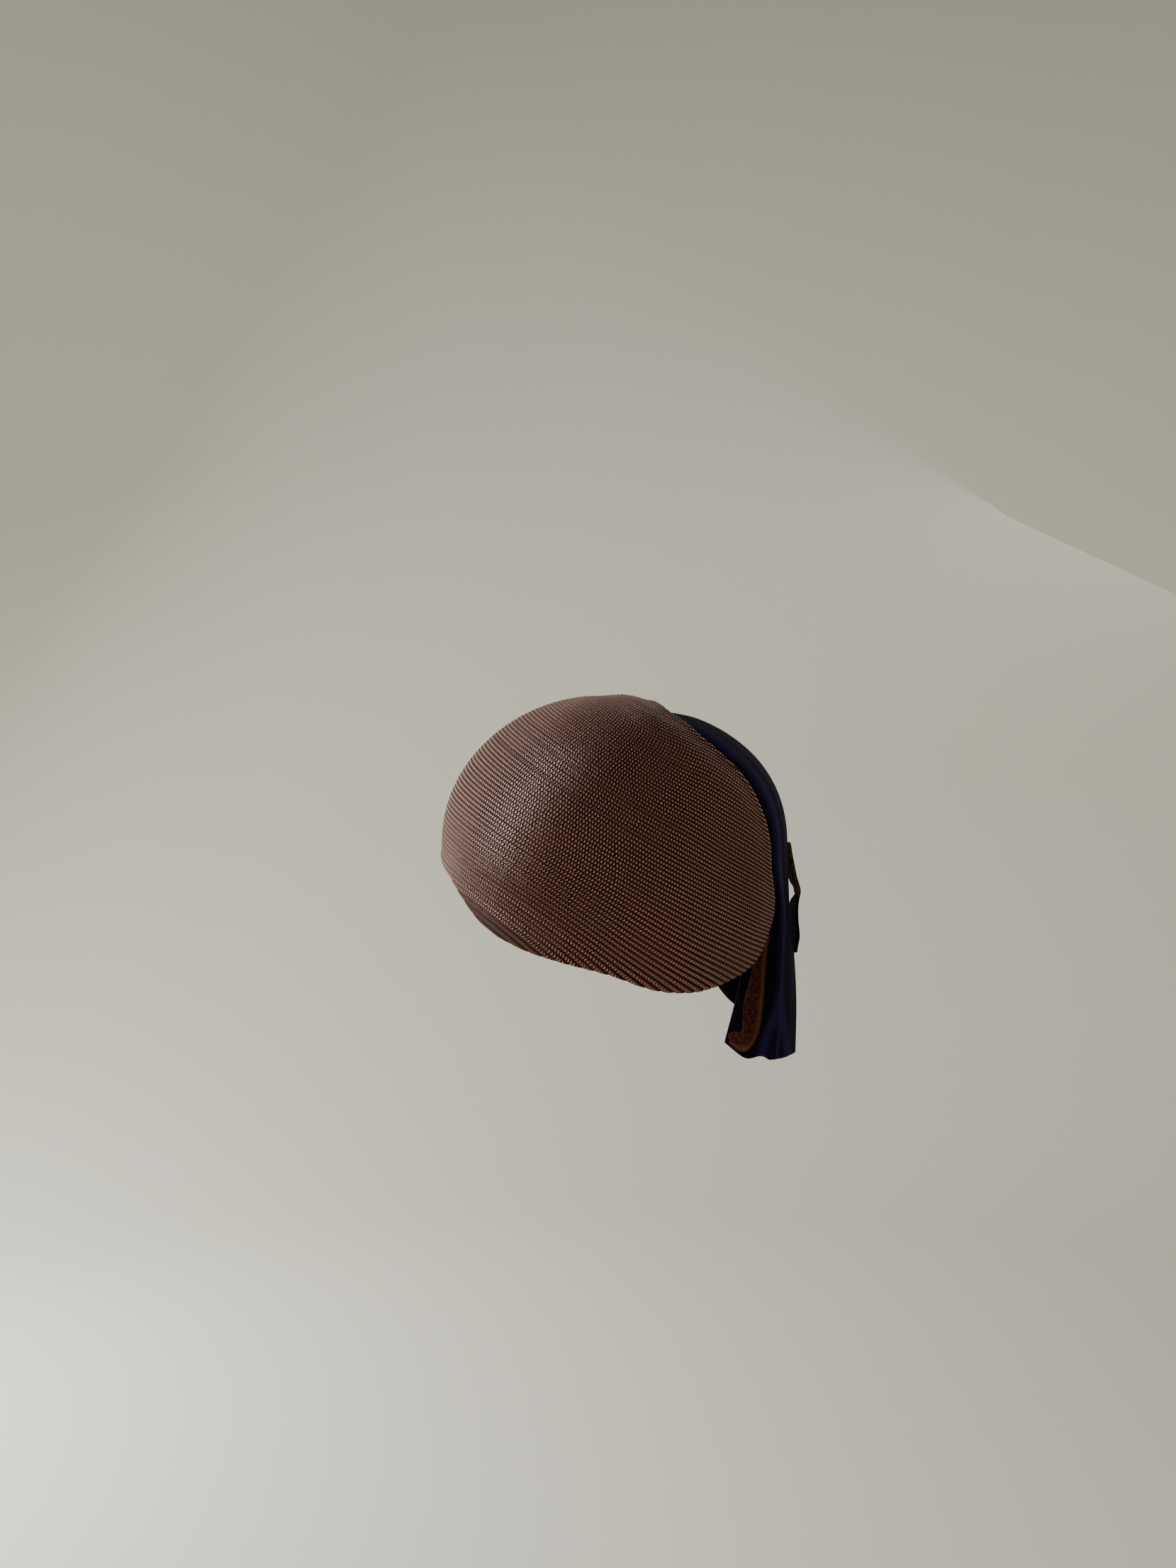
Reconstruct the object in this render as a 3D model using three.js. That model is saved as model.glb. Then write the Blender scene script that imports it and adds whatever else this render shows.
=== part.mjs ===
// Half hat: a moulded cap of ribbed straw that dips over the left ear, with a velvet
// drape that comes out from under the cap's back edge, falls over the back of the head
// and hangs in folds, a flat velvet bow loop on the drape, and a straw facing along the
// drape's near edge.
// Millimetres. +Z is up, -Y is the wearer's front and +X the wearer's left. The origin
// is the crown of the head, where the cap sits. All forms are worked out about the
// middle of the head, and the whole hat is then let down by the height of the crown.
import * as THREE from 'three';

// Head that the hat is moulded for
const headWidth = 154; // over the ears
const headFront = 93; // from the middle of the head to the forehead
const headBack = 95.5; // from the middle of the head to the back
const crownHeight = 81.4; // from the widest level to the crown
const headTaper = 176; // how slowly the head narrows below its widest level

// Flats of the head form, by compass turn from the left ear round to the back and rise
// over the widest level, both in degrees. depth is a share of the crown's height.
const headFlats = [
  { name: 'back_of_crown', turn: 82, rise: 62, spread: 25, depth: 0.072 },
  { name: 'left_of_nape', turn: 62, rise: -8, spread: 16, depth: -0.012 },
];

// Straw cap
const strawWall = 1.8;
const edgeRoll = 0.7; // how much the turned-under edge adds to the wall
const edgeRollWidth = 5;
const seamTuck = 10; // how far the drape's margin may reach in under the back edge
const seamFade = 20; // how fast the cap comes back to the head beyond the margin

// Velvet drape, two layers of velvet sewn back to back
const drapeWall = 1.6;
const drapeWidth = 102; // across the back of the head
const drapePuff = 10; // how far its fullest folds stand out
const drapeHang = 120; // from the head's widest level to the lowest hem
const clearance = 0.35; // between neighbouring pieces

// Velvet bow loop, flat against the drape
const loopWall = 1.6;
const loopWidth = 26;
const loopTop = 2; // its upper end below the head's widest level
const loopDrop = 62; // from its upper end to its lower end
const loopTurn = 17; // degrees that it is turned from the left-right line to the back
const loopEnd = 0.28; // width of its two ends, as a share of its width

// How far the loop's near and far sides stand off the drape's ridge, by the share of the
// way down it
const loopRows = [
  { way: 0, near: 0.7, far: 0 },
  { way: 0.13, near: 1.4, far: 0.2 },
  { way: 0.3, near: 3.3, far: 0.9 },
  { way: 0.37, near: 4.6, far: 2 },
  { way: 0.43, near: 5.3, far: 4.2 },
  { way: 0.5, near: 4.3, far: 3.8 },
  { way: 0.57, near: 3.3, far: 1.4 },
  { way: 0.7, near: 2.4, far: 0.6 },
  { way: 0.84, near: 2.1, far: 0.4 },
  { way: 0.94, near: 0.6, far: 0.1 },
  { way: 1, near: 0, far: 0 },
];

// Straw facing of the drape's near edge
const facingWall = 1.2;

// Its two long sides, from its upper end down and round its foot. inner and outer are
// shares of the way from the drape's near edge to its lip, and the depths are below the
// head's widest level. At the foot it curls across to the drape's near edge.
const facingRows = [
  { way: 0, inner: 0.5, innerDepth: 63.3, outer: 1.3, outerDepth: 52 },
  { way: 0.25, inner: 0.42, innerDepth: 74, outer: 1.14, outerDepth: 71 },
  { way: 0.42, inner: 0.3, innerDepth: 86, outer: 1.06, outerDepth: 85 },
  { way: 0.58, inner: 0.3, innerDepth: 96, outer: 0.99, outerDepth: 97 },
  { way: 0.7, inner: 0.36, innerDepth: 104, outer: 0.91, outerDepth: 105 },
  { way: 0.8, inner: 0.33, innerDepth: 107.5, outer: 0.76, outerDepth: 111 },
  { way: 0.88, inner: 0.26, innerDepth: 108.5, outer: 0.54, outerDepth: 115.5 },
  { way: 0.95, inner: 0.15, innerDepth: 110.5, outer: 0.3, outerDepth: 117.5 },
  { way: 1, inner: 0.05, innerDepth: 113.5, outer: 0.13, outerDepth: 117.5 },
];

// Rim of the cap seen from its own middle: how far the straw reaches, by turn, both in
// degrees. Turn 0 points down over the left ear, 90 across the brow, 180 down the right
// side and 270 to the back.
const capAim = new THREE.Vector3(0.6, -0.35, 0.72).normalize();
const rimRows = [
  { turn: 0, reach: 82.6 },
  { turn: 14, reach: 79 },
  { turn: 28, reach: 76 },
  { turn: 42, reach: 72 },
  { turn: 54, reach: 71 },
  { turn: 74, reach: 78 },
  { turn: 94, reach: 85 },
  { turn: 116, reach: 90 },
  { turn: 138, reach: 93 },
  { turn: 156, reach: 90 },
  { turn: 170, reach: 81 },
  { turn: 182, reach: 69 },
  { turn: 194, reach: 55.5 },
  { turn: 206, reach: 46 },
  { turn: 218, reach: 41 },
  { turn: 230, reach: 39.6 },
  { turn: 240, reach: 43 },
  { turn: 249, reach: 47 },
  { turn: 256, reach: 55 },
  { turn: 262, reach: 66.8 },
  { turn: 267, reach: 75 },
  { turn: 271, reach: 81.4 },
  { turn: 275, reach: 87.4 },
  { turn: 279, reach: 92.4 },
  { turn: 284, reach: 104.2 },
  { turn: 291, reach: 109 },
  { turn: 300, reach: 110.6 },
  { turn: 310, reach: 108.8 },
  { turn: 322, reach: 104.4 },
  { turn: 334, reach: 97.4 },
  { turn: 347, reach: 88 },
];

// Levels down the drape. rise is the way round the head above its widest level in
// degrees, fall the share of the hang below it, and far the place of the far edge as a
// share of half the drape's width.
const drapeLevels = [
  { name: 'crown', rise: 80, fall: 0, far: 0.68 },
  { name: 'tuck', rise: 72, fall: 0, far: 0.77 },
  { name: 'top', rise: 60, fall: 0, far: 0.87 },
  { name: 'round', rise: 42, fall: 0, far: 0.98 },
  { name: 'upper', rise: 20, fall: 0, far: 1 },
  { name: 'level', rise: 0, fall: 0, far: 0.97 },
  { name: 'quarter', rise: 0, fall: 0.25, far: 0.94 },
  { name: 'half', rise: 0, fall: 0.5, far: 0.92 },
  { name: 'low', rise: 0, fall: 0.75, far: 0.92 },
  { name: 'foot', rise: 0, fall: 1, far: 0.92 },
];

// Fold lines that run down the drape, from its near edge across to its far edge. at is
// the line's place, 1 at the cap's back edge and -1 at the far edge, and hem its hang
// as a share of the whole hang. The other columns say how far it stands out at each
// level, as shares of the drape's puff. Under the cap, at the crown and tuck levels, all
// lines lie flat.
const foldLines = [
  {
    line: 'edge', at: 1.08, hem: 0.907,
    top: 0, round: 0, upper: 0, level: 0, quarter: -0.22, half: -0.95, low: -1.6, foot: -2.4,
  },
  {
    line: 'bowl', at: 1.04, hem: 0.966,
    top: 0, round: 0, upper: 0, level: 0, quarter: -0.16, half: -0.66, low: -0.95, foot: -1.3,
  },
  {
    line: 'lip', at: 0.98, hem: 0.955,
    top: 0, round: 0, upper: 0, level: 0, quarter: -0.12, half: -0.46, low: -0.5, foot: -0.6,
  },
  {
    line: 'valley', at: 0.91, hem: 0.975,
    top: 0.05, round: 0.06, upper: 0.1, level: 0.03, quarter: 0, half: -0.14, low: -0.25, foot: -0.2,
  },
  {
    line: 'ridge', at: 0.8, hem: 0.985,
    top: 0.2, round: 0.24, upper: 0.28, level: 0.22, quarter: 0.26, half: 0.3, low: 0.14, foot: -0.04,
  },
  {
    line: 'split', at: 0.66, hem: 0.995,
    top: 0.22, round: 0.26, upper: 0.24, level: 0.18, quarter: 0.2, half: 0.26, low: 0.12, foot: -0.02,
  },
  {
    line: 'branch', at: 0.48, hem: 1,
    top: 0.28, round: 0.3, upper: 0.34, level: 0.3, quarter: 0.38, half: 0.52, low: 0.5, foot: 0.4,
  },
  {
    line: 'side', at: 0.22, hem: 1,
    top: 0.3, round: 0.32, upper: 0.36, level: 0.34, quarter: 0.46, half: 0.78, low: 0.96, foot: 0.92,
  },
  {
    line: 'hollow', at: 0, hem: 0.96,
    top: 0.15, round: 0.18, upper: 0.14, level: 0.1, quarter: 0.16, half: 0.28, low: 0.3, foot: 0.25,
  },
  {
    line: 'back_ridge', at: -0.2, hem: 0.98,
    top: 0.26, round: 0.34, upper: 0.4, level: 0.4, quarter: 0.5, half: 0.7, low: 0.82, foot: 0.85,
  },
  {
    line: 'back_hollow', at: -0.42, hem: 0.92,
    top: 0.08, round: 0.12, upper: 0.1, level: 0.06, quarter: 0.1, half: 0.14, low: 0.14, foot: 0.1,
  },
  {
    line: 'far_ridge', at: -0.64, hem: 0.91,
    top: 0.14, round: 0.36, upper: 0.36, level: 0.36, quarter: 0.42, half: 0.5, low: 0.55, foot: 0.55,
  },
  {
    line: 'far_hollow', at: -0.84, hem: 0.82,
    top: 0.04, round: 0.1, upper: 0.06, level: 0.05, quarter: 0.02, half: -0.06, low: -0.14, foot: -0.2,
  },
  {
    line: 'far_edge', at: -1, hem: 0.72,
    top: 0.02, round: 0.1, upper: 0.08, level: 0.06, quarter: 0, half: -0.16, low: -0.32, foot: -0.5,
  },
];

// How fine the faceted forms are
const capTurns = 72;
const capRings = 17;
const drapeAcross = 44;
const drapeDown = 28;
const loopAcross = 6;
const loopAround = 28;
const facingAcross = 4;
const facingDown = 24;

const degrees = Math.PI / 180;
const smooth = (x) => {
  const k = Math.min(Math.max(x, 0), 1);
  return k * k * (3 - 2 * k);
};

// Smooth curve through rows of a table: y at x, with x rising from row to row
function through(xs, ys, x) {
  const last = xs.length - 1;
  const at = Math.min(Math.max(x, xs[0]), xs[last]);
  let i = 0;
  while (i < last - 1 && at > xs[i + 1]) i += 1;
  const slope = (k) => {
    const a = Math.max(k - 1, 0);
    const b = Math.min(k + 1, last);
    return (ys[b] - ys[a]) / (xs[b] - xs[a]);
  };
  const span = xs[i + 1] - xs[i];
  const k = (at - xs[i]) / span;
  const rise = k * k * (3 - 2 * k);
  return (
    ys[i] * (1 - rise) +
    ys[i + 1] * rise +
    span * slope(i) * k * (1 - k) * (1 - k) -
    span * slope(i + 1) * k * k * (1 - k)
  );
}

// Head form with its surface pushed out by grow
const headAxes = (y, z, grow) => [
  headWidth / 2 + grow,
  (y < 0 ? headFront : headBack) + grow,
  (z > 0 ? crownHeight : headTaper) + grow,
];

const flats = headFlats.map(({ turn, rise, spread, depth }) => ({
  aim: new THREE.Vector3(
    Math.cos(turn * degrees) * Math.cos(rise * degrees),
    Math.sin(turn * degrees) * Math.cos(rise * degrees),
    Math.sin(rise * degrees)
  ),
  spread: spread * degrees,
  depth: depth * crownHeight,
}));

const flatDepth = (direction) =>
  flats.reduce((sum, flat) => {
    const off = Math.acos(Math.min(direction.dot(flat.aim), 1)) / flat.spread;
    return sum + flat.depth * Math.exp(-off * off);
  }, 0);

function headSurface(direction, grow) {
  const [a, b, c] = headAxes(direction.y, direction.z, grow);
  const size = Math.hypot(direction.x / a, direction.y / b, direction.z / c);
  return direction.clone().multiplyScalar(1 / size - flatDepth(direction));
}

// Rim table closed into a ring, with rows before 0 and after 360 degrees
const ringRows = [
  ...rimRows.slice(-2).map((row) => ({ turn: row.turn - 360, reach: row.reach })),
  ...rimRows,
  ...rimRows.slice(0, 3).map((row) => ({ turn: row.turn + 360, reach: row.reach })),
];
const ringTurns = ringRows.map((row) => row.turn);
const ringReaches = ringRows.map((row) => row.reach);
const fullTurn = (turn) => ((turn % 360) + 360) % 360;
const rimReach = (turn) => through(ringTurns, ringReaches, fullTurn(turn));

const capDown = new THREE.Vector3(0, 0, -1)
  .addScaledVector(capAim, capAim.z)
  .normalize();
const capSide = new THREE.Vector3().crossVectors(capDown, capAim);

function capDirection(turn, reach) {
  const around = capDown
    .clone()
    .multiplyScalar(Math.cos(turn * degrees))
    .addScaledVector(capSide, Math.sin(turn * degrees));
  return capAim
    .clone()
    .multiplyScalar(Math.cos(reach * degrees))
    .addScaledVector(around, Math.sin(reach * degrees));
}

// The back edge of the cap, from turn 158 round to 306, is lifted over the margin of the
// drape, which is tucked under it
const seamLift = drapeWall + 3 * clearance;
const seamShare = (turn) => smooth((turn - 158) / 16) * smooth((306 - turn) / 12);
const seamStations = Array.from({ length: 38 }, (_, i) => 306 - 4 * i).map((turn) => ({
  point: headSurface(capDirection(turn, rimReach(turn)), 0),
  share: seamShare(turn),
}));

function liftAt(point) {
  const nearest = new THREE.Vector3();
  return seamStations.slice(1).reduce((highest, { point: end, share }, i) => {
    const start = seamStations[i];
    const line = new THREE.Line3(start.point, end);
    const k = line.closestPointToPointParameter(point, true);
    const away = line.at(k, nearest).distanceTo(point);
    const full = start.share + (share - start.share) * k;
    return Math.max(highest, seamLift * full * (1 - smooth((away - seamTuck) / seamFade)));
  }, 0);
}

// Point of the cap at a turn and a share of the way out to the rim, at a height over the
// straw's inner face
function capPoint(turn, share, height) {
  const rim = rimReach(turn);
  const direction = capDirection(turn, rim * share);
  const head = headSurface(direction, 0);
  const toRim = rim * (1 - share) * degrees * crownHeight;
  const roll = height > 0 ? edgeRoll * (1 - smooth(toRim / edgeRollWidth)) : 0;
  return head.addScaledVector(direction, liftAt(head) + height + roll);
}

// How far to the left the cap's back edge lies, by the drape's levels: the way round the
// head above its widest level, or the depth below it. A level is one number, the rise in
// degrees or less than 0 the share of the hang.
const seamTurns = Array.from({ length: 36 }, (_, i) => 296 - 2 * i);
const seamPoints = seamTurns.map((turn) => capPoint(turn, 1, 0));
const levelNumber = (rise, fall) => (fall > 0 ? -fall : rise / 90);
const pointLevel = (p) =>
  p.z < 0 ? p.z / drapeHang : Math.atan2(p.z / crownHeight, p.y / headBack) / (90 * degrees);
const seamLevels = seamPoints.map(pointLevel);
const seamPlaces = seamPoints.map((p) => p.x);
const seamAt = (rise, fall) => through(seamLevels, seamPlaces, levelNumber(rise, fall));

// Drape: point on its outer face. across runs from 0 at the near edge to 1 at the far
// edge, down from 0 at the crown to 1 at the foot.
const linePlaces = foldLines.map((_, i) => i / (foldLines.length - 1));
const levelPlaces = drapeLevels.map((_, i) => i / (drapeLevels.length - 1));
const lineColumn = (name, across) =>
  through(linePlaces, foldLines.map((line) => line[name] ?? 0), across);
const levelColumn = (name, down) =>
  through(levelPlaces, drapeLevels.map((row) => row[name]), down);

function drapeOuter(across, down) {
  const outs = drapeLevels.map((row) => lineColumn(row.name, across));
  const out = clearance + drapeWall + drapePuff * through(levelPlaces, outs, down);
  const rise = Math.max(levelColumn('rise', down), 0);
  const fall = Math.max(levelColumn('fall', down), 0);
  const at = lineColumn('at', across);
  const x = at > 0 ? at * seamAt(rise, fall) : (at * levelColumn('far', down) * drapeWidth) / 2;
  const [a, b, c] = headAxes(1, 1, 0);
  const narrow = Math.sqrt(1 - (x / a) ** 2);
  const base = new THREE.Vector3(
    x,
    b * narrow * Math.cos(rise * degrees),
    c * narrow * Math.sin(rise * degrees)
  );
  const normal = new THREE.Vector3(base.x / a ** 2, base.y / b ** 2, base.z / c ** 2).normalize();
  const flat = flatDepth(base.clone().normalize());
  const drop = fall * drapeHang * lineColumn('hem', across);
  return base.addScaledVector(normal, out - flat).add(new THREE.Vector3(0, 0, -drop));
}

// Outward normal of a face given by a function of two shares
function faceNormal(face, u, v) {
  const step = 0.004;
  const clamp = (k) => Math.min(Math.max(k, 0), 1);
  const alongU = face(clamp(u + step), v).sub(face(clamp(u - step), v));
  const alongV = face(u, clamp(v + step)).sub(face(u, clamp(v - step)));
  return alongV.cross(alongU).normalize();
}

const drapeAt = (across, down, height) =>
  drapeOuter(across, down).addScaledVector(faceNormal(drapeOuter, across, down), height);

// Share of the way down the drape at a depth below the head's widest level
const widest = levelPlaces[drapeLevels.findIndex((row) => row.rise === 0)];
const downAt = (depth) => widest + ((1 - widest) * depth) / drapeHang;

// Closed body between two faces: a grid of outer points and the same grid of inner
// points, joined along the grid's free sides. A wrapped grid closes on itself across its
// columns, and a poled one has its whole first row at one point.
function sheetGeometry(outer, inner, { wrapped = false, poled = false } = {}) {
  const rows = outer.length;
  const columns = outer[0].length;
  const points = [];
  const index = (face, row, column) =>
    face * rows * columns + row * columns + (wrapped ? column % columns : column);
  [outer, inner].forEach((face) => face.forEach((row) => row.forEach((p) => points.push(p.x, p.y, p.z))));
  const triangles = [];
  const quad = (a, b, c, d) => triangles.push(a, b, c, a, c, d);
  const pole = (face) => index(face, 0, 0);
  const across = wrapped ? columns : columns - 1;
  for (let row = 0; row < rows - 1; row += 1) {
    for (let column = 0; column < across; column += 1) {
      if (poled && row === 0) {
        triangles.push(pole(0), index(0, 1, column), index(0, 1, column + 1));
        triangles.push(pole(1), index(1, 1, column + 1), index(1, 1, column));
      } else {
        quad(
          index(0, row, column),
          index(0, row + 1, column),
          index(0, row + 1, column + 1),
          index(0, row, column + 1)
        );
        quad(
          index(1, row, column),
          index(1, row, column + 1),
          index(1, row + 1, column + 1),
          index(1, row + 1, column)
        );
      }
    }
  }
  for (let column = 0; column < across; column += 1) {
    const last = rows - 1;
    quad(
      index(0, last, column),
      index(1, last, column),
      index(1, last, column + 1),
      index(0, last, column + 1)
    );
    if (!poled) {
      quad(index(0, 0, column), index(0, 0, column + 1), index(1, 0, column + 1), index(1, 0, column));
    }
  }
  if (!wrapped) {
    for (let row = 0; row < rows - 1; row += 1) {
      const last = columns - 1;
      quad(index(0, row, 0), index(1, row, 0), index(1, row + 1, 0), index(0, row + 1, 0));
      quad(index(0, row, last), index(0, row + 1, last), index(1, row + 1, last), index(1, row, last));
    }
  }
  const used = new Map();
  const kept = [];
  const renumbered = triangles.map((i) => {
    if (!used.has(i)) {
      used.set(i, kept.length / 3);
      kept.push(points[3 * i], points[3 * i + 1], points[3 * i + 2]);
    }
    return used.get(i);
  });
  const geometry = new THREE.BufferGeometry();
  geometry.setAttribute('position', new THREE.Float32BufferAttribute(kept, 3));
  geometry.setIndex(renumbered);
  geometry.computeVertexNormals();
  return geometry;
}

const grid = (rows, columns, point) =>
  Array.from({ length: rows }, (_, row) =>
    Array.from({ length: columns }, (__, column) => point(row, column))
  );

// Turns of the cap's facets, evenly spaced along its rim
function evenTurns(count) {
  const fine = Array.from({ length: 721 }, (_, i) => i / 2);
  const points = fine.map((turn) => capPoint(turn, 1, 0));
  const lengths = [0];
  points.slice(1).forEach((p, i) => lengths.push(lengths[i] + p.distanceTo(points[i])));
  return Array.from({ length: count }, (_, i) => {
    const length = (lengths[720] * i) / count;
    const next = lengths.findIndex((l) => l > length);
    const share = (length - lengths[next - 1]) / (lengths[next] - lengths[next - 1]);
    return fine[next - 1] + share * (fine[next] - fine[next - 1]);
  }).reverse();
}

function strawCapGeometry() {
  const turns = evenTurns(capTurns);
  const face = (height) =>
    grid(capRings + 1, capTurns, (ring, turn) =>
      capPoint(turns[turn], 1 - (1 - ring / capRings) ** 1.25, height)
    );
  return sheetGeometry(face(strawWall), face(0), { wrapped: true, poled: true });
}

function velvetDrapeGeometry() {
  const face = (height) =>
    grid(drapeDown + 1, drapeAcross + 1, (row, column) =>
      drapeAt(column / drapeAcross, row / drapeDown, height)
    );
  return sheetGeometry(face(0), face(-drapeWall));
}

// The bow loop lies across one ridge of the drape. It touches it at both ends and stands
// off it between them, twisted so that its near side stands further off.
const placeOf = (name) => linePlaces[foldLines.findIndex(({ line }) => line === name)];

const loopAcrossAim = new THREE.Vector3(
  -Math.cos(loopTurn * degrees),
  Math.sin(loopTurn * degrees),
  0
);

const rowColumn = (rows, name, way) => through(rows.map((row) => row.way), rows.map((row) => row[name]), way);

function loopPoint(side, way, height) {
  const down = downAt(loopTop + loopDrop * way);
  const near = Math.max(rowColumn(loopRows, 'near', way), 0);
  const far = Math.max(rowColumn(loopRows, 'far', way), 0);
  const stand = near + (far - near) * side;
  const arch = Math.max(Math.sin(Math.PI * way), 0);
  const width = loopWidth * (loopEnd + (1 - loopEnd) * arch ** 0.45);
  return drapeAt(placeOf('side'), down, clearance + stand + height).addScaledVector(
    loopAcrossAim,
    width * (side - 0.5)
  );
}

function velvetLoopGeometry() {
  const face = (height) =>
    grid(loopAround + 1, loopAcross + 1, (row, column) =>
      loopPoint(column / loopAcross, row / loopAround, height)
    );
  return sheetGeometry(face(loopWall), face(0));
}

// The facing lies on the drape's near margin, from under the cap down to the hem
function facingPoint(side, way, height) {
  const column = (name) => rowColumn(facingRows, name, way);
  const across = placeOf('lip') * (column('inner') * (1 - side) + column('outer') * side);
  const depth = column('innerDepth') * (1 - side) + column('outerDepth') * side;
  return drapeAt(across, downAt(depth), clearance + height);
}

function strawFacingGeometry() {
  const face = (height) =>
    grid(facingDown + 1, facingAcross + 1, (row, column) =>
      facingPoint(column / facingAcross, row / facingDown, height)
    );
  return sheetGeometry(face(facingWall), face(0));
}

const straw = { color: 0x5a3a2c, roughness: 0.55, metalness: 0 };
const velvet = { color: 0x0e0c16, roughness: 0.95, metalness: 0 };
const strawReverse = { color: 0x4a2c1e, roughness: 0.8, metalness: 0 };

function piece(name, geometry, finish) {
  const mesh = new THREE.Mesh(geometry, new THREE.MeshStandardMaterial(finish));
  mesh.name = name;
  return mesh;
}

const hat = new THREE.Group();
hat.add(
  piece('straw_cap', strawCapGeometry(), straw),
  piece('velvet_drape', velvetDrapeGeometry(), velvet),
  piece('velvet_loop', velvetLoopGeometry(), velvet),
  piece('straw_facing', strawFacingGeometry(), strawReverse)
);
hat.position.z = -crownHeight;

export default hat;
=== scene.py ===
# %% [markdown]
# # A half hat in ribbed straw and velvet
#
# The hat is a shallow cap of sewn straw ribs that dips low on the left. A velvet
# drape comes out from under its back edge and hangs below it in folds, with a flat bow
# loop at the back and a strip of plain straw along its near edge.
#
# The plain solids of the hat are measured already. We could dress them with materials
# alone, but ribs and creases show best when they are real. So each solid gets a finer
# skin in the same place. We work in millimetres about the middle of the hollow that the
# hat is moulded round, as hat makers do, and turn to metres only when a mesh is made.
# +Z is up, -Y is the front of the hat as it is worn, and +X its left.

import math

import bmesh
import bpy
import numpy as np
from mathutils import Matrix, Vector


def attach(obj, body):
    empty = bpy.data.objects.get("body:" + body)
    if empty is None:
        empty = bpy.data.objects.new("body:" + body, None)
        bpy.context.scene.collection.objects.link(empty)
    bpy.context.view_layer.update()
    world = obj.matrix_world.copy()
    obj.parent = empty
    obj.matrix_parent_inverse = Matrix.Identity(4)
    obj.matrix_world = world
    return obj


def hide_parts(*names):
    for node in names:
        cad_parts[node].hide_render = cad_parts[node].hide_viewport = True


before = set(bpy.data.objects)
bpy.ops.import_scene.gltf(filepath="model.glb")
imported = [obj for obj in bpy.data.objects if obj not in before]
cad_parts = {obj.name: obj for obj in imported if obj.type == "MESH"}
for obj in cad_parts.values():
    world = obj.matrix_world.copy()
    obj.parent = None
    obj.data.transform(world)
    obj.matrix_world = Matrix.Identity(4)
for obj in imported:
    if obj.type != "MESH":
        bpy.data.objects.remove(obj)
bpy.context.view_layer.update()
print("parts:", ", ".join(sorted(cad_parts)))

# %% [markdown]
# ## Sizes
#
# Every size that the shapes share is named once here. We could type the points of each
# outline instead, but a short table with named rows is easier to read and to change. A
# smooth curve runs through the rows.

# %% Sizes of the hollow, the cap and the drape
# the hollow: across, to the front, to the back, up, and how far down it would close
HOLLOW_WIDTH = 154
HOLLOW_FRONT = 93
HOLLOW_BACK = 95.5
CROWN_HEIGHT = 81.4
HOLLOW_TAPER = 176
# the straw: its wall, how much thicker its edge is, and the lift over the drape
STRAW_WALL = 1.8
EDGE_ROLL = 0.7
EDGE_ROLL_WIDTH = 5
SEAM_TUCK = 10
SEAM_FADE = 20
# the drape, and the space between neighbours
DRAPE_WALL = 1.6
DRAPE_WIDTH = 102
DRAPE_PUFF = 10
DRAPE_HANG = 120
CLEARANCE = 0.35
# the loop: its top and drop under the widest level, its turn, its share of width at the end
LOOP_WALL = 1.6
LOOP_WIDTH = 26
LOOP_TOP = 2
LOOP_DROP = 62
LOOP_TURN = 17
LOOP_END = 0.28
# the facing, and the direction of the cap's own middle
FACING_WALL = 1.2
CAP_AIM = np.array((0.6, -0.35, 0.72)) / np.linalg.norm((0.6, -0.35, 0.72))

# turn round the cap's middle and reach of the rim from it, in degrees
RIM = np.array(
    [
        (0, 82.6), (14, 79), (28, 76), (42, 72), (54, 71), (74, 78), (94, 85), (116, 90),
        (138, 93), (156, 90), (170, 81), (182, 69), (194, 55.5), (206, 46), (218, 41),
        (230, 39.6), (240, 43), (249, 47), (256, 55), (262, 66.8), (267, 75), (271, 81.4),
        (275, 87.4), (279, 92.4), (284, 104.2), (291, 109), (300, 110.6), (310, 108.8),
        (322, 104.4), (334, 97.4), (347, 88),
    ]
)  # fmt: skip

# flats of the hollow: turn from the left to the back, rise, spread, depth
FLATS = [(82, 62, 25, 0.072), (62, -8, 16, -0.012)]

# levels down the drape: rise over the widest level, share of the fall, far edge
LEVELS = {
    "crown": (80, 0, 0.68),
    "tuck": (72, 0, 0.77),
    "top": (60, 0, 0.87),
    "round": (42, 0, 0.98),
    "upper": (20, 0, 1),
    "level": (0, 0, 0.97),
    "quarter": (0, 0.25, 0.94),
    "half": (0, 0.5, 0.92),
    "low": (0, 0.75, 0.92),
    "foot": (0, 1, 0.92),
}

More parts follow.
